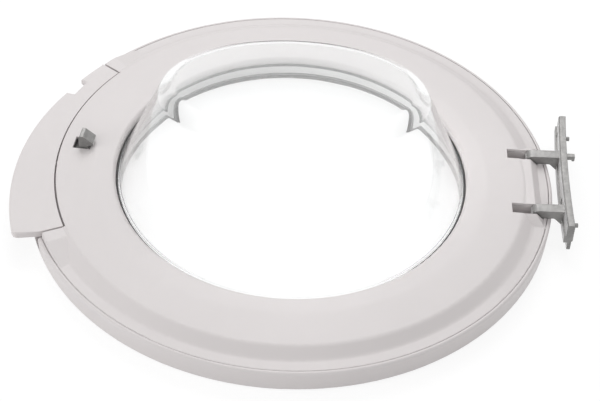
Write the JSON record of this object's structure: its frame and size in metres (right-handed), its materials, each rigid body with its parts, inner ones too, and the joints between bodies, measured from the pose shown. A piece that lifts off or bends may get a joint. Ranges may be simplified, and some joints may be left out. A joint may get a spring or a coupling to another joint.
{
  "type": "washing machine door",
  "caption": "Round porthole door of a front-loading washing machine: plastic ring, clear slanted glass bowl, pull handle with latch hook, and a swing hinge with a fixing plate.",
  "frame": {"origin": "on the axis of the porthole, in the plane of the door's front face", "axes": "+Z from the front face towards the drum, +X from the porthole's centre to the hinge, -Y towards the deep side of the bowl"},
  "size_m": [0.4924, 0.4597, 0.146],
  "materials": {
    "ring_plastic": "satin",
    "dark_plastic": "matte",
    "steel": "drawn",
    "die_casting": "satin, as cast",
    "glass": "polished",
    "rubber": "matte"
  },
  "bodies": {
    "frame": {"outer_ring": "ring_plastic", "inner_ring": "ring_plastic", "glass_bowl": "glass", "glass_seal": "rubber", "handle_pin": "steel", "handle_spring": "steel", "hook_spring": "steel", "bearing_screws": "steel", "hinge_pin_far": "steel", "hinge_pin_near": "steel", "bearing_cap_1": "dark_plastic", "bearing_cap_2": "dark_plastic", "bearing_cap_3": "dark_plastic", "bearing_cap_4": "dark_plastic"},
    "handle": {"handle_lever": "ring_plastic"},
    "hook": {"latch_hook": "die_casting"},
    "hinge": {"hinge_casting": "die_casting", "hinge_bush_far": "dark_plastic", "hinge_bush_near": "dark_plastic"}
  },
  "joints": [
    {"name": "hinge_swing", "type": "hinge", "parent": "frame", "child": "hinge", "pos_m": [0.213, 0, 0.0115], "axis": [0, -1, 0], "range_deg": [0, 90]},
    {"name": "handle_pull", "type": "hinge", "parent": "frame", "child": "handle", "pos_m": [-0.19652, 0.02413, 0.016], "axis": [-0.1219, -0.9925, 0], "range_deg": [0, 8], "stiffness_Nm_per_rad": 1, "springref_deg": -17.19},
    {"name": "hook_swing", "type": "hinge", "parent": "handle", "child": "hook", "pos_m": [-0.19652, 0.02413, 0.016], "axis": [-0.1219, -0.9925, 0], "range_deg": [0, 6], "stiffness_Nm_per_rad": 0.3, "springref_deg": -17.19}
  ]
}
